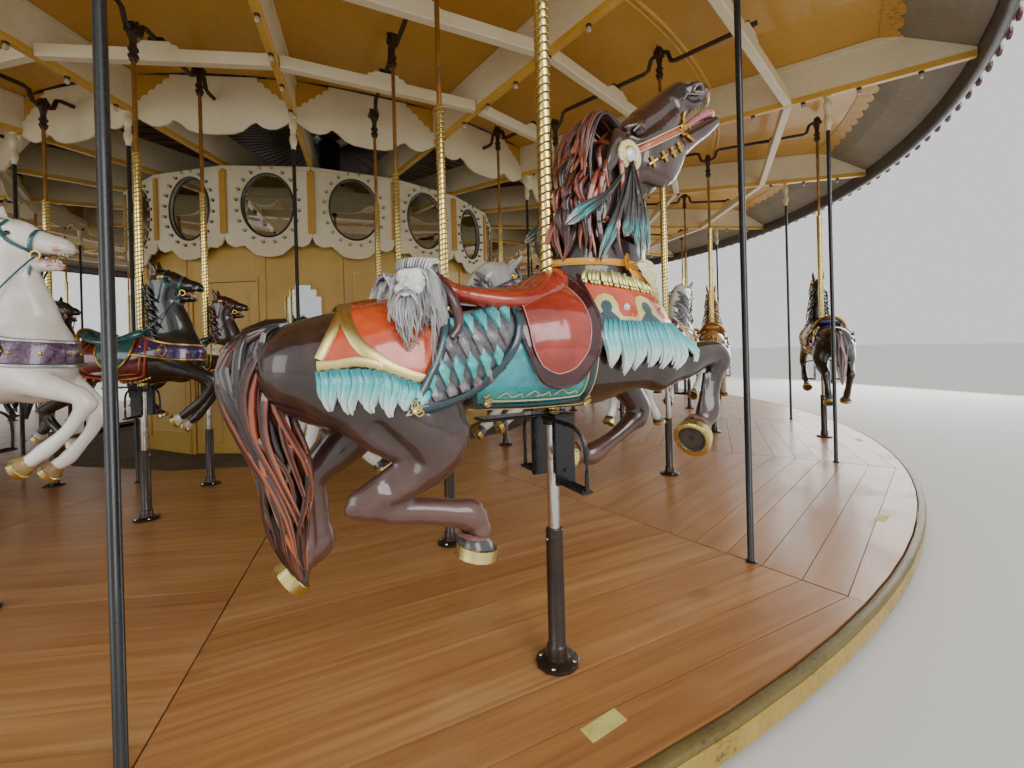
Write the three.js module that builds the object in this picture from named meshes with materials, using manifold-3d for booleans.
// Fairground carousel with 18 sweeps and four rows of jumping horses.
// Millimetres, +Z up, origin on the ground at the turning axis.

import * as THREE from 'three';
import { mergeVertices } from 'three/addons/utils/BufferGeometryUtils.js';
import Module from 'manifold-3d';

const wasm = await Module();
wasm.setup();

// Driving layout
const BAYS = 18;
const BAY_ANGLE = 2 * Math.PI / BAYS;
const FIRST_SWEEP = THREE.MathUtils.degToRad(-73.3);
const FIT = 0.3;
const RUNNING_GAP = 6;
const SLIDE_GAP = 0.4;
const FACETS = 36;

// Heights
const BEAM_HEIGHT = 120;
const SHAFT_HALF = 22;
const DECK_BOTTOM = 62;
const DECK_TOP = 130;
const FLOOR_TOP = 60;
const SWEEP_BOTTOM = 3210;
const SWEEP_TOP = 3560;
const HUB_BOTTOM = SWEEP_BOTTOM - 20;
const DRUM_TOP = SWEEP_BOTTOM - FIT;
const DRUM_BOTTOM = 2350;
const WALL_TOP = 2520;
const DOOR_HEAD = 1980;
const RIM_BOTTOM = 3126;
const ROOF_EAVE = 3790;
const ROOF_PEAK = 4650;
const CRANK_HEIGHT = SWEEP_BOTTOM + BEAM_HEIGHT + FIT + SHAFT_HALF;

// Radii
const FLOOR_RADIUS = 3300;
const DECK_INNER = 3400;
const DECK_OUTER = 7180;
const DECK_EDGE = 7222;
const OUTER_ROD_RADIUS = 6730;
const INNER_ROD_RADIUS = 3760;
const HOUSE_RADIUS = 2500;
const DRUM_RADIUS = 2620;
const RIM_INNER = 7640;
const RIM_OUTER = 7704;
const SWEEP_END = RIM_INNER - 2.6;
const HUB_INNER = 190;
const HUB_OUTER = 420;
const HUB_LAP = 40;
const HUB_FACETS = 12;
const POST_RADIUS = 170;
const CEILING_INNER = 3690;
const CEILING_OUTER = 7130;
const BEAM_RADII = [3600, 4400, 5300, 6350];
const BEAM_HALF = 35;

const SWEEP_HALF = 25;
const ROD_RADIUS = 15;
const FINIAL_RADIUS = 32;
const FINIAL_LENGTH = 290;
const HOOP_HALF = 30;
const HOOP_BOTTOM = 42;
const VALANCE_BOTTOM = 3050;
const VALANCE_RISE = 140;
const VALANCE_BOARD = 20;
const VALANCE_FACE = BEAM_RADII[0] + BEAM_HALF + FIT + VALANCE_BOARD;
const VALANCE_RADIUS = Math.ceil(VALANCE_FACE / Math.cos(BAY_ANGLE / 2));
const DRUM_BOARD = 25;
const DRUM_LOBE = 2215;
const OVAL_HALF_WIDTH = 265;
const OVAL_HALF_HEIGHT = 340;
const OVAL_CENTRE = 2786;
const MIRROR_LAP = 30;
const MIRROR_BOARD = 10;
const CEILING_BOARD = 20;
const COVE_BOARD = 20;
const COVE_LIFT = 1.8;
const COVE_CROWN = 60;
const SWEEP_TIP = 70;
const TRIM_OUTER = 7735;
const TRIM_BOTTOM = RIM_BOTTOM;
const EAVE_OVERHANG = 60;
const ROOF_BOARD = 40;
const PEAK_RADIUS = 220;
const HANGER_DROP = 190;
const HANGER_WIDTH = 70;
const HOUSE_START = THREE.MathUtils.degToRad(-106.3);
const WALL_THICKNESS = 45;
const DOORWAY = 764;
const DOOR_THICKNESS = 40;
const DOOR_INSET = 23;
const KNUCKLE_HEIGHTS = [300, 1000, 1700];
const KNUCKLE_LENGTH = 100;

// Rows of horses: pole radius of each row
const ROWS = [6770, 5700, 4650, 3880];
const ROW_SCALES = [1, 0.92, 0.86, 0.74];
const SCALE_HEIGHT = 1010;

// Poles
const BRASS_RADIUS = 25;
const PIPE_RADIUS = 14;
const BRASS_BORE = PIPE_RADIUS + SLIDE_GAP;
const SLIDER_RADIUS = 20;
const SLEEVE_RADIUS = 30;
const SLEEVE_BORE = SLIDER_RADIUS + SLIDE_GAP;
const SLEEVE_TOP = DECK_TOP + 445;
const POLE_SIDES = 6;
const ROD_SIDES = 4;

// Short overlap of solids that are joined, and the overrun of cuts past a face
const LAP = 5;
const OVERRUN = 10;
const BRASS_BOTTOM = DECK_TOP + 835;
const BRASS_TOP = DECK_TOP + 2350;
const BORE_BOTTOM = DECK_TOP + 1880;
const PIPE_BOTTOM = DECK_TOP + 2090;
const SLIDER_BOTTOM = DECK_TOP + 200;

// Colours
const COLOURS = {
  varnish: 0x8a4f22,
  gold: 0xc9a24a,
  blackSteel: 0x161616,
  cream: 0xe6dcbc,
  ochre: 0xc08a2c,
  yellow: 0xd9b75a,
  tan: 0xa98b66,
  brass: 0xd8b24a,
  glass: 0xb9c4c6,
  concrete: 0x8b857a,
  bay: 0x5a4038,
  white: 0xe8e6e0,
  redTrim: 0xa83228,
};

const model = new THREE.Group();

function finish(colour, roughness = 0.5, metalness = 0) {
  return new THREE.MeshStandardMaterial({ color: COLOURS[colour], roughness, metalness });
}

// Adds one named sub-part to the model
function addPart(name, solid, colour, roughness, metalness) {
  const geometry = solid.getMesh ? toGeometry(solid) : solid;
  const mesh = new THREE.Mesh(geometry, finish(colour, roughness, metalness));
  mesh.name = name;
  model.add(mesh);
  return mesh;
}

// Turns a closed three.js geometry into a solid for joins and cuts
function toSolid(geometry) {
  const bare = geometry.clone();
  bare.deleteAttribute('normal');
  bare.deleteAttribute('uv');
  const merged = mergeVertices(bare, 0.001);
  return new wasm.Manifold(new wasm.Mesh({
    numProp: 3,
    vertProperties: new Float32Array(merged.attributes.position.array),
    triVerts: new Uint32Array(merged.index.array),
  }));
}

function toGeometry(solid) {
  const data = solid.getMesh();
  const geometry = new THREE.BufferGeometry();
  geometry.setAttribute('position', new THREE.BufferAttribute(data.vertProperties.slice(), 3));
  geometry.setIndex(new THREE.BufferAttribute(data.triVerts.slice(), 1));
  geometry.computeVertexNormals();
  return geometry;
}

function join(solids) {
  return solids.reduce((sum, solid) => sum.add(solid));
}

function block(length, width, height, x, y, z, turn = 0) {
  const box = new THREE.BoxGeometry(length, width, height);
  box.translate(x, y, z + height / 2);
  box.rotateZ(turn);
  return toSolid(box);
}

// Extrudes a closed outline of [x, y] points between two heights
function prism(outline, bottom, top, holes = []) {
  const shape = new THREE.Shape(outline.map(([x, y]) => new THREE.Vector2(x, y)));
  for (const hole of holes) {
    shape.holes.push(new THREE.Path(hole.map(([x, y]) => new THREE.Vector2(x, y))));
  }
  const geometry = new THREE.ExtrudeGeometry(shape, { depth: top - bottom, bevelEnabled: false });
  geometry.translate(0, 0, bottom);
  return toSolid(geometry);
}

function circle(radius, sides, start = 0, x = 0, y = 0) {
  return Array.from({ length: sides }, (unused, i) => {
    const angle = start + i * 2 * Math.PI / sides;
    return [x + radius * Math.cos(angle), y + radius * Math.sin(angle)];
  });
}

function ring(inner, outer, bottom, top, sides = FACETS, start = FIRST_SWEEP) {
  return prism(circle(outer, sides, start), bottom, top, [circle(inner, sides, start)]);
}

function rod(radius, bottom, top, x = 0, y = 0, sides = 8, turn = 0) {
  return prism(circle(radius, sides, Math.PI / sides + turn, x, y), bottom, top);
}

// Poles and tubes of one bay are turned alike, so that a tube and what slides in it stay parallel
function poleTurn(bay) {
  return bayAngle(bay) + Math.PI / 2;
}

// Turns a closed profile of [radius, height] points around Z; the profile stays off the axis
function turned(profile, sides = FACETS, start = FIRST_SWEEP) {
  const points = [...profile, profile[0]].map(([radius, height]) => new THREE.Vector2(radius, height));
  const geometry = new THREE.LatheGeometry(points, sides, start + Math.PI / 2);
  const position = geometry.attributes.position;
  const count = points.length;
  const copyVertex = (from, to) => {
    position.setXYZ(to, position.getX(from), position.getY(from), position.getZ(from));
  };
  for (let i = 0; i < count; i += 1) {
    copyVertex(i, sides * count + i);
  }
  for (let column = 0; column <= sides; column += 1) {
    copyVertex(column * count, column * count + count - 1);
  }
  geometry.rotateX(Math.PI / 2);
  const solid = toSolid(geometry);
  return solid.volume() > 0 ? solid : toSolid(flipped(geometry));
}

function flipped(geometry) {
  const copy = geometry.clone();
  const index = copy.index.array;
  for (let i = 0; i < index.length; i += 3) {
    [index[i], index[i + 1]] = [index[i + 1], index[i]];
  }
  return copy;
}

function sweepAngle(bay) {
  return FIRST_SWEEP + bay * BAY_ANGLE;
}

function bayAngle(bay) {
  return FIRST_SWEEP + (bay + 0.5) * BAY_ANGLE;
}

function polar(radius, angle) {
  return [radius * Math.cos(angle), radius * Math.sin(angle)];
}

// Skins a row of rings, each a list of [x, y, z] points of one length, into a closed solid
function loft(rings) {
  const count = rings[0].length;
  const positions = [];
  for (const points of rings) {
    for (const point of points) {
      positions.push(...point);
    }
  }
  const index = [];
  for (let level = 0; level < rings.length - 1; level += 1) {
    for (let i = 0; i < count; i += 1) {
      const a = level * count + i;
      const b = level * count + (i + 1) % count;
      index.push(a, b, b + count, a, b + count, a + count);
    }
  }
  const end = (rings.length - 1) * count;
  for (let i = 1; i < count - 1; i += 1) {
    index.push(0, i + 1, i);
    index.push(end, end + i, end + i + 1);
  }
  const geometry = new THREE.BufferGeometry();
  geometry.setAttribute('position', new THREE.Float32BufferAttribute(positions, 3));
  geometry.setIndex(index);
  return toSolid(geometry);
}

// One limb or trunk: stations of centre [x, y, z], half width across Y and half depth, square to the run
function limb(stations, sides = 6) {
  const rings = stations.map((station, i) => {
    const before = stations[Math.max(i - 1, 0)].at;
    const after = stations[Math.min(i + 1, stations.length - 1)].at;
    const run = new THREE.Vector3(...after).sub(new THREE.Vector3(...before)).normalize();
    const across = new THREE.Vector3(0, 1, 0);
    const deep = new THREE.Vector3().crossVectors(run, across).normalize();
    const side = new THREE.Vector3().crossVectors(deep, run).normalize();
    return Array.from({ length: sides }, (unused, k) => {
      const angle = (k + 0.5) * 2 * Math.PI / sides;
      const point = new THREE.Vector3(...station.at);
      point.addScaledVector(deep, station.depth * Math.cos(angle));
      point.addScaledVector(side, station.width * Math.sin(angle));
      return point.toArray();
    });
  });
  const solid = loft(rings);
  return solid.volume() > 0 ? solid : loft(rings.reverse());
}

// Main horse, local frame: +X ahead, +Y to the left side, Z above the deck
const CHARGER = {
  trunk: [
    { at: [-790, 0, 1010], width: 90, depth: 90 },
    { at: [-640, 0, 975], width: 195, depth: 165 },
    { at: [-330, 0, 1015], width: 205, depth: 165 },
    { at: [60, 0, 1030], width: 215, depth: 180 },
    { at: [330, 0, 1060], width: 190, depth: 175 },
    { at: [470, 0, 1070], width: 110, depth: 110 },
  ],
  neck: [
    { at: [250, 0, 1090], width: 130, depth: 200 },
    { at: [215, 0, 1370], width: 105, depth: 190 },
    { at: [225, 0, 1620], width: 85, depth: 150 },
    { at: [330, 0, 1760], width: 80, depth: 110 },
  ],
  head: [
    { at: [230, 0, 1720], width: 70, depth: 110 },
    { at: [430, 0, 1810], width: 85, depth: 125 },
    { at: [640, 0, 1915], width: 55, depth: 75 },
    { at: [800, 0, 1990], width: 45, depth: 60 },
  ],
  legs: [
    [
      { at: [330, -120, 1050], width: 70, depth: 110 },
      { at: [590, -130, 1030], width: 45, depth: 60 },
      { at: [645, -130, 990], width: 42, depth: 45 },
      { at: [590, -130, 830], width: 32, depth: 35 },
      { at: [480, -130, 720], width: 42, depth: 50 },
    ],
    [
      { at: [300, 120, 1000], width: 65, depth: 100 },
      { at: [510, 130, 800], width: 45, depth: 50 },
      { at: [260, 130, 650], width: 32, depth: 35 },
      { at: [150, 130, 650], width: 42, depth: 45 },
    ],
    [
      { at: [-560, -110, 960], width: 80, depth: 150 },
      { at: [-520, -130, 800], width: 65, depth: 100 },
      { at: [-620, -130, 660], width: 45, depth: 55 },
      { at: [-340, -130, 620], width: 35, depth: 38 },
      { at: [-280, -130, 500], width: 45, depth: 50 },
    ],
    [
      { at: [-600, 110, 920], width: 80, depth: 140 },
      { at: [-740, 130, 720], width: 45, depth: 60 },
      { at: [-690, 130, 540], width: 35, depth: 38 },
      { at: [-810, 130, 450], width: 45, depth: 50 },
    ],
  ],
  tail: [
    { at: [-700, 0, 1080], width: 50, depth: 50 },
    { at: [-840, 0, 950], width: 75, depth: 65 },
    { at: [-800, 0, 700], width: 80, depth: 85 },
    { at: [-770, 0, 480], width: 30, depth: 30 },
  ],
  saddle: [
    { at: [-390, 0, 1210], width: 120, depth: 55 },
    { at: [-190, 0, 1180], width: 190, depth: 50 },
    { at: [-10, 0, 1240], width: 130, depth: 65 },
  ],
  cantleHead: [
    { at: [-480, -110, 1290], width: 60, depth: 60 },
    { at: [-480, -150, 1180], width: 85, depth: 90 },
    { at: [-450, -170, 1060], width: 40, depth: 50 },
  ],
};

// Plainer jumper of the other rows, same frame
const JUMPER = {
  trunk: [
    { at: [-620, 0, 1040], width: 100, depth: 110 },
    { at: [-480, 0, 1000], width: 175, depth: 165 },
    { at: [60, 0, 1010], width: 180, depth: 170 },
    { at: [340, 0, 1040], width: 110, depth: 130 },
  ],
  neck: [
    { at: [260, 0, 1080], width: 100, depth: 170 },
    { at: [200, 0, 1330], width: 80, depth: 125 },
    { at: [130, 0, 1590], width: 65, depth: 90 },
  ],
  head: [
    { at: [110, 0, 1610], width: 62, depth: 75 },
    { at: [200, 0, 1600], width: 68, depth: 90 },
    { at: [320, 0, 1590], width: 50, depth: 62 },
    { at: [400, 0, 1565], width: 45, depth: 52 },
  ],
  legs: [
    [
      { at: [300, -95, 990], width: 60, depth: 90 },
      { at: [555, -100, 830], width: 38, depth: 45 },
      { at: [320, -100, 600], width: 34, depth: 38 },
    ],
    [
      { at: [280, 95, 970], width: 60, depth: 90 },
      { at: [480, 100, 780], width: 38, depth: 45 },
      { at: [260, 100, 540], width: 34, depth: 38 },
    ],
    [
      { at: [-470, -95, 970], width: 70, depth: 130 },
      { at: [-600, -100, 700], width: 38, depth: 50 },
      { at: [-420, -100, 470], width: 36, depth: 40 },
    ],
    [
      { at: [-520, 95, 950], width: 70, depth: 120 },
      { at: [-720, 100, 720], width: 38, depth: 50 },
      { at: [-780, 100, 500], width: 36, depth: 40 },
    ],
  ],
  tail: [
    { at: [-580, 0, 1110], width: 45, depth: 45 },
    { at: [-740, 0, 980], width: 60, depth: 60 },
    { at: [-800, 0, 640], width: 25, depth: 30 },
  ],
};

// Side outline of the fixed horses of the unseen bays
const HORSE_OUTLINE = [
  [-640, 1090], [-300, 1210], [50, 1210], [70, 1690], [220, 1690], [430, 1620], [410, 1510], [250, 1490],
  [390, 1090], [600, 840], [330, 560], [440, 860], [-430, 840], [-370, 450], [-640, 720], [-780, 480],
  [-820, 900],
];
const FIXED_HORSE_THICKNESS = 300;

// Sides round a horse's trunk and head, round its legs and tail, and round its carved extras
const CHARGER_SIDES = { body: 8, leg: 5, carving: 5 };
const JUMPER_SIDES = { body: 5, leg: 3, carving: 3 };

function horseSolid(form, sides) {
  const pieces = [limb(form.trunk, sides.body), limb(form.neck, sides.body), limb(form.tail, sides.leg)];
  for (const stations of [form.head, form.saddle]) {
    if (stations) {
      pieces.push(limb(stations, sides.body));
    }
  }
  for (const leg of form.legs) {
    pieces.push(limb(leg, sides.leg));
  }
  if (form.cantleHead) {
    pieces.push(limb(form.cantleHead, sides.carving));
  }
  return join(pieces);
}

// Moves a solid from a horse's local frame to its pole in the carousel
function atPole(solid, row, bay, lift = DECK_TOP) {
  const angle = bayAngle(bay);
  const [x, y] = polar(ROWS[row], angle);
  return solid.rotate([0, 0, THREE.MathUtils.radToDeg(angle) + 90]).translate([x, y, lift]);
}

function brassPole() {
  const [bottom, top] = [BRASS_BOTTOM - DECK_TOP, BRASS_TOP - DECK_TOP];
  const tube = rod(BRASS_RADIUS, bottom, top, 0, 0, POLE_SIDES);
  const bore = rod(BRASS_BORE, BORE_BOTTOM - DECK_TOP, top + OVERRUN, 0, 0, POLE_SIDES);
  const slider = rod(SLIDER_RADIUS, SLIDER_BOTTOM - DECK_TOP, bottom + OVERRUN, 0, 0, POLE_SIDES);
  return join([tube, slider]).subtract(bore);
}

// Footrest under the belly: a flat plate on the pole with a stirrup on each side
const FOOTREST = {
  plateTop: 834,
  plateThickness: 12,
  plateBack: -262,
  plateFront: 34,
  plateWidth: 110,
  strapWidth: 70,
  strapThickness: 10,
  strapOffset: 75,
  strapBottom: 606,
  barWidth: 40,
  barThickness: 14,
  barEnd: 197,
  rod: 14,
  rodTop: 808,
};

function footrest() {
  const size = FOOTREST;
  const plateLength = size.plateFront - size.plateBack;
  const plateBottom = size.plateTop - size.plateThickness;
  const plateCentre = (size.plateFront + size.plateBack) / 2;
  const parts = [block(plateLength, size.plateWidth, size.plateThickness, plateCentre, 0, plateBottom)];
  const strapReach = size.strapOffset + size.strapThickness / 2;
  const cheek = block(size.strapWidth, 2 * strapReach, size.plateThickness, 0, 0, plateBottom);
  parts.push(cheek);
  const strapHeight = size.plateTop - size.strapBottom;
  const barLength = size.barEnd - size.strapOffset;
  const barCentre = (size.barEnd + size.strapOffset) / 2;
  const rodCentre = size.barEnd - size.rod / 2;
  const riserHeight = size.rodTop - size.strapBottom;
  const backBottom = size.rodTop - size.rod;
  const hookHeight = plateBottom + LAP - backBottom;
  const hookOffset = 2 * size.rod;
  for (const side of [-1, 1]) {
    const strapAt = side * size.strapOffset;
    parts.push(block(size.strapWidth, size.strapThickness, strapHeight, 0, strapAt, size.strapBottom));
    parts.push(block(size.barWidth, barLength, size.barThickness, 0, side * barCentre, size.strapBottom));
    parts.push(block(size.rod, size.rod, riserHeight, 0, side * rodCentre, size.strapBottom));
    parts.push(block(size.rod, size.barEnd, size.rod, 0, side * size.barEnd / 2, backBottom));
    parts.push(block(size.rod, size.rod, hookHeight, 0, side * hookOffset, backBottom));
  }
  return join(parts);
}

const MAIN_ROW = 0;
const MAIN_BAY = 0;

function addMainHorse() {
  const clearance = rod(BRASS_RADIUS + FIT, 0, BRASS_TOP, 0, 0, POLE_SIDES);
  const body = horseSolid(CHARGER, CHARGER_SIDES);
  addPart('charger_body', atPole(body.subtract(clearance), MAIN_ROW, MAIN_BAY), 'bay', 0.25, 0);
  addPart('charger_pole', atPole(brassPole(), MAIN_ROW, MAIN_BAY), 'brass', 0.25, 1);
  const sliderClear = rod(SLIDER_RADIUS + FIT, 0, BRASS_BOTTOM - DECK_TOP - FIT, 0, 0, POLE_SIDES);
  const rest = footrest().subtract(sliderClear);
  addPart('charger_footrest', atPole(rest, MAIN_ROW, MAIN_BAY), 'blackSteel', 0.4, 0.8);
}

// Horses whose rise shows in the photograph: [row, bay]
const JUMPERS = [
  [1, 0], [2, 0], [3, 0],
  [1, -1], [2, -1], [3, -1],
  [1, 1], [2, 1], [3, 1],
  [0, 2], [1, 2], [2, 2], [3, 2],
];
const OPEN_BAYS = [-1, 0, 1, 2];

function jumperName(row, bay) {
  const bayNumber = OPEN_BAYS.indexOf(bay) + 1;
  return `jumper_row${row + 1}_bay${bayNumber}`;
}

// Inner rows hold smaller horses, scaled about their girth
function rowScaled(solid, row) {
  const scale = ROW_SCALES[row];
  return solid.translate([0, 0, -SCALE_HEIGHT]).scale([scale, scale, scale]).translate([0, 0, SCALE_HEIGHT]);
}

function addJumpers() {
  const horse = horseSolid(JUMPER, JUMPER_SIDES);
  const bore = rod(BRASS_BORE, BORE_BOTTOM - DECK_TOP, BRASS_TOP, 0, 0, POLE_SIDES);
  for (const [row, bay] of JUMPERS) {
    const whole = join([rowScaled(horse, row), brassPole()]).subtract(bore);
    addPart(jumperName(row, bay), atPole(whole, row, bay), row % 2 ? 'white' : 'bay', 0.3, 0);
  }
}

// Overhang of a crankshaft past its outer hanger
const SHAFT_END = 60;

// Bays that hold an outer-row horse are every second one
function rowsInBay(bay) {
  return bay % 2 === 0 ? [0, 1, 2, 3] : [1, 2, 3];
}

// Crankshaft of one bay, lying on the cross beams, with a hanger and a pipe over every pole
function crankshaft(bay, pipeBottom) {
  const angle = bayAngle(bay);
  const rows = rowsInBay(bay);
  const inner = BEAM_RADII[0] - BEAM_HALF;
  const outer = rows[0] === 0 ? ROWS[0] + SHAFT_END : BEAM_RADII[3] + BEAM_HALF;
  const shaftBottom = CRANK_HEIGHT - SHAFT_HALF;
  const parts = [
    block(outer - inner, 2 * SHAFT_HALF, 2 * SHAFT_HALF, (outer + inner) / 2, 0, shaftBottom, angle),
  ];
  for (const row of rows) {
    const [x, y] = polar(ROWS[row], angle);
    const hangerBottom = CRANK_HEIGHT - HANGER_DROP;
    parts.push(block(HANGER_WIDTH, HANGER_WIDTH, HANGER_DROP, ROWS[row], 0, hangerBottom, angle));
    if (pipeBottom < hangerBottom) {
      parts.push(rod(PIPE_RADIUS, pipeBottom, hangerBottom + LAP, x, y, POLE_SIDES, poleTurn(bay)));
    }
  }
  return join(parts);
}

function addCrankshafts() {
  OPEN_BAYS.forEach((bay, i) => {
    addPart(`crankshaft_bay${i + 1}`, crankshaft(bay, PIPE_BOTTOM), 'blackSteel', 0.5, 0.7);
  });
}

// A fixed horse of an unseen bay: flat-sided, on its own pole down to the deck
function fixedHorse(row, bay) {
  const half = FIXED_HORSE_THICKNESS / 2;
  const standing = prism(HORSE_OUTLINE, -half, half).rotate([90, 0, 0]);
  return atPole(rowScaled(standing, row), row, bay).add(fixedPole(row, bay));
}

function fixedPole(row, bay) {
  const [x, y] = polar(ROWS[row], bayAngle(bay));
  return rod(BRASS_RADIUS, DECK_TOP + FIT, CRANK_HEIGHT - HANGER_DROP + LAP, x, y, ROD_SIDES);
}

// The bays whose horses stay at mid height: one node holds a bay's crankshaft, poles and horses
function addFixedBays() {
  const firstFixed = OPEN_BAYS[OPEN_BAYS.length - 1] + 1;
  for (let i = 0; i < BAYS - OPEN_BAYS.length; i += 1) {
    const bay = firstFixed + i;
    const horses = rowsInBay(bay).map((row) => fixedHorse(row, bay));
    const whole = join([crankshaft(bay, CRANK_HEIGHT - HANGER_DROP), ...horses]);
    addPart(`horses_bay${bay + 2}`, whole, 'bay', 0.35, 0);
  }
}

const EDGE_DROP = 30;
const FINIAL_SIDES = 5;

// Deck, floor and rods
function addDeck() {
  const boards = ring(DECK_INNER, DECK_OUTER, DECK_BOTTOM, DECK_TOP);
  const sleeves = [];
  const bores = [];
  for (const [row, bay] of [[MAIN_ROW, MAIN_BAY], ...JUMPERS]) {
    const [x, y] = polar(ROWS[row], bayAngle(bay));
    sleeves.push(rod(SLEEVE_RADIUS, DECK_TOP - LAP, SLEEVE_TOP, x, y, POLE_SIDES, poleTurn(bay)));
    bores.push(rod(SLEEVE_BORE, DECK_TOP - OVERRUN, SLEEVE_TOP + OVERRUN, x, y, POLE_SIDES, poleTurn(bay)));
  }
  const holes = [];
  for (let bay = 0; bay < BAYS; bay += 1) {
    for (const radius of [OUTER_ROD_RADIUS, INNER_ROD_RADIUS]) {
      const [x, y] = polar(radius, sweepAngle(bay));
      holes.push(rod(ROD_RADIUS + 2 * FIT, DECK_BOTTOM - OVERRUN, DECK_TOP + OVERRUN, x, y, ROD_SIDES));
    }
  }
  const deck = join([boards, ...sleeves]).subtract(join([...holes, ...bores]));
  addPart('deck', deck, 'varnish', 0.3, 0);
  addPart('deck_rim', ring(DECK_OUTER + FIT, DECK_EDGE, DECK_BOTTOM - EDGE_DROP, DECK_TOP), 'gold', 0.4, 0.2);
}

// A ring of rods under one circle of sweeps, welded to a flat hoop below the deck
function addRods(name, radius) {
  const hoop = ring(radius - HOOP_HALF, radius + HOOP_HALF, HOOP_BOTTOM, DECK_BOTTOM - FIT, BAYS);
  const parts = [hoop];
  for (let bay = 0; bay < BAYS; bay += 1) {
    const [x, y] = polar(radius, sweepAngle(bay));
    parts.push(rod(ROD_RADIUS, HOOP_BOTTOM, SWEEP_BOTTOM - FINIAL_LENGTH + LAP, x, y, ROD_SIDES));
    parts.push(rod(FINIAL_RADIUS, SWEEP_BOTTOM - FINIAL_LENGTH, SWEEP_BOTTOM - FIT, x, y, FINIAL_SIDES));
  }
  addPart(name, join(parts), 'blackSteel', 0.4, 0.6);
}

// One ring of straight cross beams, a beam to a bay; grown widens it on every side
function beamRing(radius, grown = 0) {
  const corner = Math.cos(BAY_ANGLE / 2);
  const inner = (radius - BEAM_HALF - grown) / corner;
  const outer = (radius + BEAM_HALF + grown) / corner;
  return ring(inner, outer, SWEEP_BOTTOM - 2 * grown, SWEEP_BOTTOM + BEAM_HEIGHT + grown, BAYS);
}

// Hub with the sweeps, which are notched from below over four rings of cross beams
function addSweeps() {
  const start = HUB_OUTER - HUB_LAP;
  const profile = [
    [start, SWEEP_BOTTOM], [SWEEP_END, SWEEP_BOTTOM], [SWEEP_END, SWEEP_BOTTOM + SWEEP_TIP],
    [CEILING_OUTER, SWEEP_TOP], [start, SWEEP_TOP],
  ];
  const parts = [ring(HUB_INNER, HUB_OUTER, HUB_BOTTOM, SWEEP_TOP, HUB_FACETS)];
  for (let bay = 0; bay < BAYS; bay += 1) {
    const web = prism(profile, -SWEEP_HALF, SWEEP_HALF).rotate([90, 0, 0]);
    parts.push(web.rotate([0, 0, THREE.MathUtils.radToDeg(sweepAngle(bay))]));
  }
  const notches = BEAM_RADII.map((radius) => beamRing(radius, FIT));
  addPart('sweeps', join(parts).subtract(join(notches)), 'cream', 0.6, 0);
  BEAM_RADII.forEach((radius, i) => {
    addPart(`cross_beams_${i + 1}`, beamRing(radius), 'cream', 0.6, 0);
  });
}

// Ceiling boards, cove, rim, rounding boards and roof
function addOverhead() {
  const ceilingTop = SWEEP_TOP + FIT + CEILING_BOARD;
  const ceiling = ring(CEILING_INNER, CEILING_OUTER, SWEEP_TOP + FIT, ceilingTop, BAYS);
  addPart('ceiling', ceiling, 'ochre', 0.6, 0);

  const drop = (SWEEP_TOP - SWEEP_BOTTOM - SWEEP_TIP) / (SWEEP_END - CEILING_OUTER);
  const underside = (radius) => SWEEP_TOP - drop * (radius - CEILING_OUTER) + COVE_LIFT;
  const [start, end] = [CEILING_OUTER + LAP, RIM_INNER - FIT];
  const shoulder = start + (end - start) / 2;
  const cove = turned([
    [start, underside(start)], [end, underside(end)], [end, underside(end) + COVE_BOARD],
    [shoulder, underside(shoulder) + COVE_BOARD + COVE_CROWN], [start, ceilingTop],
  ]);
  addPart('cove', cove, 'tan', 0.7, 0);

  const eave = TRIM_OUTER + EAVE_OVERHANG;
  const pitch = (ROOF_PEAK - ROOF_EAVE) / (eave - PEAK_RADIUS);
  const boardTop = ROOF_EAVE + pitch * EAVE_OVERHANG - FIT;
  addPart('rim_ring', ring(RIM_INNER, RIM_OUTER, RIM_BOTTOM, boardTop), 'blackSteel', 0.5, 0.4);
  const trim = ring(RIM_OUTER + FIT, TRIM_OUTER, TRIM_BOTTOM, boardTop);
  addPart('rounding_boards', trim, 'redTrim', 0.6, 0);

  const shell = turned([
    [PEAK_RADIUS, ROOF_PEAK], [eave, ROOF_EAVE], [eave, ROOF_EAVE + ROOF_BOARD],
    [PEAK_RADIUS, ROOF_PEAK + ROOF_BOARD],
  ]);
  const capOutline = circle(PEAK_RADIUS + OVERRUN, FACETS, FIRST_SWEEP);
  const cap = prism(capOutline, ROOF_PEAK - LAP, ROOF_PEAK + 2 * ROOF_BOARD);
  addPart('roof', join([shell, cap]), 'tan', 0.8, 0);
}

// Outline of one straight board with a scalloped bottom edge: [share of the width, height above the lowest]
const SCALLOP = [
  [0, 1], [0.13, 0.4], [0.27, 0.62], [0.38, 0.08], [0.62, 0.08], [0.73, 0.62], [0.87, 0.4], [1, 1],
];

const BOARD_MARGIN = 20;
const BOARD_WIDENING = 1.02;

// A ring of flat boards, one to a bay, with scalloped bottoms and optional openings
function boardRing(radius, thickness, bottom, rise, top, opening) {
  const width = 2 * radius * Math.sin(BAY_ANGLE / 2);
  const flat = radius * Math.cos(BAY_ANGLE / 2);
  const edge = SCALLOP.map(([share, height]) => [(share - 0.5) * width, bottom + height * rise]);
  const outline = [...edge, [width / 2, top], [-width / 2, top]];
  const deep = thickness + 2 * BOARD_MARGIN;
  const board = prism(outline, 0, deep, opening ? [opening] : []).rotate([90, 0, 0]);
  const inner = (radius - thickness / Math.cos(BAY_ANGLE / 2));
  const shell = ring(inner, radius, bottom - OVERRUN, top + OVERRUN, BAYS);
  const boards = [];
  for (let bay = 0; bay < BAYS; bay += 1) {
    const turn = THREE.MathUtils.radToDeg(bayAngle(bay)) + 90;
    const wide = board.scale([BOARD_WIDENING, 1, 1]);
    boards.push(wide.translate([0, -(flat - thickness - BOARD_MARGIN), 0]).rotate([0, 0, turn]));
  }
  return shell.intersect(join(boards));
}

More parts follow.
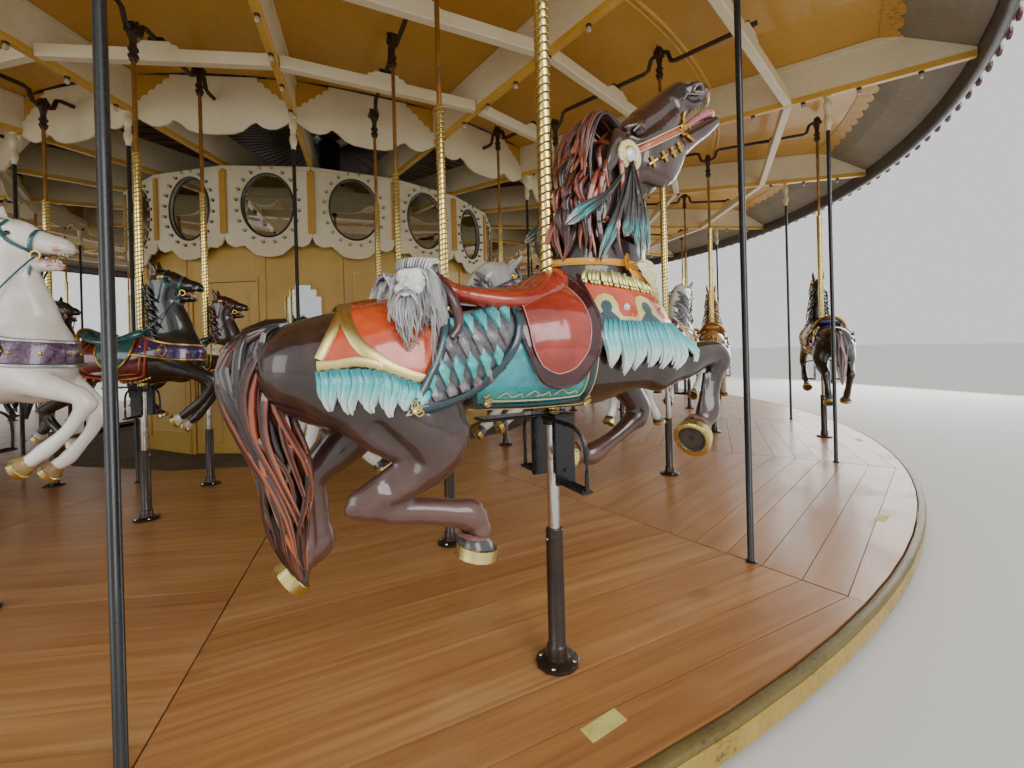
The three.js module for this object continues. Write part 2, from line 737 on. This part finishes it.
function oval(halfWidth, halfHeight, height, sides = 8) {
  return circle(1, sides).map(([x, y]) => [x * halfWidth, height + y * halfHeight]).reverse();
}

// Slots of the valance over the sweeps
const SLOT_LENGTH = 200;
const SLOT_HEIGHT = 400;

// Drum panels, mirrors and valance
function addDrum() {
  const opening = oval(OVAL_HALF_WIDTH, OVAL_HALF_HEIGHT, OVAL_CENTRE);
  const rise = DRUM_BOTTOM - DRUM_LOBE;
  const panels = boardRing(DRUM_RADIUS, DRUM_BOARD, DRUM_LOBE, rise, DRUM_TOP, opening);
  addPart('drum_panels', panels, 'cream', 0.6, 0);
  const mirrorOuter = DRUM_RADIUS - DRUM_BOARD / Math.cos(BAY_ANGLE / 2) - FIT;
  const mirrorBottom = OVAL_CENTRE - OVAL_HALF_HEIGHT - MIRROR_LAP;
  const mirrorTop = OVAL_CENTRE + OVAL_HALF_HEIGHT + MIRROR_LAP;
  const mirrors = ring(mirrorOuter - MIRROR_BOARD, mirrorOuter, mirrorBottom, mirrorTop, BAYS);
  addPart('drum_mirrors', mirrors, 'glass', 0.05, 1);
  const half = SHAFT_HALF + FIT;
  const [low, high] = [CRANK_HEIGHT - half, CRANK_HEIGHT + half];
  const shaftHole = [[-half, low], [-half, high], [half, high], [half, low]];
  const top = SWEEP_TOP - FIT;
  const valance = boardRing(VALANCE_RADIUS, VALANCE_BOARD, VALANCE_BOTTOM, VALANCE_RISE, top, shaftHole);
  const webs = [];
  const width = 2 * (SWEEP_HALF + FIT);
  for (let bay = 0; bay < BAYS; bay += 1) {
    const slotBottom = SWEEP_BOTTOM - FIT;
    webs.push(block(SLOT_LENGTH, width, SLOT_HEIGHT, VALANCE_RADIUS, 0, slotBottom, sweepAngle(bay)));
  }
  addPart('valance', valance.subtract(join(webs)), 'cream', 0.6, 0);
}

// The two points of a wall's end cut, outer then inner, at a distance past a corner along its face
function wallEnd(corner, distance) {
  const normal = HOUSE_START + (corner + 0.5) * BAY_ANGLE;
  const flat = HOUSE_RADIUS * Math.cos(BAY_ANGLE / 2);
  const along = distance - HOUSE_RADIUS * Math.sin(BAY_ANGLE / 2);
  const point = (out) => {
    const [x, y] = polar(out, normal);
    return [x - along * Math.sin(normal), y + along * Math.cos(normal)];
  };
  return [point(flat), point(flat - WALL_THICKNESS)];
}

// A run of wall faces; the ends lie a distance past their corners
function houseWall(name, from, to) {
  const inner = HOUSE_RADIUS - WALL_THICKNESS / Math.cos(BAY_ANGLE / 2);
  const [firstOuter, firstInner] = wallEnd(from.corner, from.distance);
  const [lastOuter, lastInner] = wallEnd(to.corner, to.distance);
  const outer = [firstOuter];
  const back = [firstInner];
  for (let corner = from.corner + 1; corner <= to.corner; corner += 1) {
    const angle = HOUSE_START + corner * BAY_ANGLE;
    outer.push(polar(HOUSE_RADIUS, angle));
    back.push(polar(inner, angle));
  }
  const outline = [...outer, lastOuter, lastInner, ...back.reverse()];
  addPart(name, prism(outline, FLOOR_TOP + FIT, WALL_TOP), 'yellow', 0.6, 0);
}

function addHouse() {
  const face = 2 * HOUSE_RADIUS * Math.sin(BAY_ANGLE / 2);
  const jamb = (face - DOORWAY) / 2;
  const seam = face / 2;
  houseWall('house_wall_right', { corner: 0, distance: face - jamb }, { corner: 6, distance: seam });
  houseWall('house_wall_back', { corner: 6, distance: seam + FIT }, { corner: 11, distance: seam });
  houseWall('house_wall_left', { corner: 11, distance: seam + FIT }, { corner: BAYS, distance: jamb });
  const flat = HOUSE_RADIUS * Math.cos(BAY_ANGLE / 2);
  const doorAngle = THREE.MathUtils.radToDeg(HOUSE_START + BAY_ANGLE / 2) + 90;
  const lintelAt = WALL_THICKNESS / 2 - flat;
  const lintel = block(DOORWAY - 2 * FIT, WALL_THICKNESS, WALL_TOP - DOOR_HEAD, 0, lintelAt, DOOR_HEAD);
  addPart('house_lintel', lintel.rotate([0, 0, doorAngle]), 'yellow', 0.6, 0);
  const leafTop = DOOR_HEAD - RUNNING_GAP;
  const leafBottom = FLOOR_TOP + RUNNING_GAP;
  const leafWidth = DOORWAY - 2 * RUNNING_GAP;
  const leafHeight = leafTop - leafBottom;
  const leaf = block(leafWidth, DOOR_THICKNESS, leafHeight, 0, DOOR_INSET - flat, leafBottom);
  const hingeX = DOORWAY / 2 - RUNNING_GAP;
  const hingeY = DOOR_INSET + DOOR_THICKNESS / 2 - flat;
  const knuckles = KNUCKLE_HEIGHTS.map((height) => (
    rod(RUNNING_GAP - FIT, height, height + KNUCKLE_LENGTH, hingeX, hingeY)
  ));
  addPart('house_door', join([leaf, ...knuckles]).rotate([0, 0, doorAngle]), 'yellow', 0.5, 0);
}

const POST_SIDES = 12;
const POST_CLEARANCE = 60;
const COLLAR_REACH = 130;
const COLLAR_HEIGHT = 80;

// Fixed centre: floor and post with the bearing collar under the hub
function addCentre() {
  addPart('centre_floor', prism(circle(FLOOR_RADIUS, FACETS, FIRST_SWEEP), 0, FLOOR_TOP), 'concrete', 0.9, 0);
  const post = rod(POST_RADIUS, FLOOR_TOP + FIT, ROOF_PEAK - POST_CLEARANCE, 0, 0, POST_SIDES);
  const collarTop = HUB_BOTTOM - FIT;
  const collar = rod(POST_RADIUS + COLLAR_REACH, collarTop - COLLAR_HEIGHT, collarTop, 0, 0, POST_SIDES);
  addPart('centre_post', join([post, collar]), 'blackSteel', 0.5, 0.6);
}

addCentre();
addHouse();
addDeck();
addRods('outer_rods', OUTER_ROD_RADIUS);
addRods('inner_rods', INNER_ROD_RADIUS);
addSweeps();
addOverhead();
addDrum();
addCrankshafts();
addFixedBays();
addMainHorse();
addJumpers();

export default model;
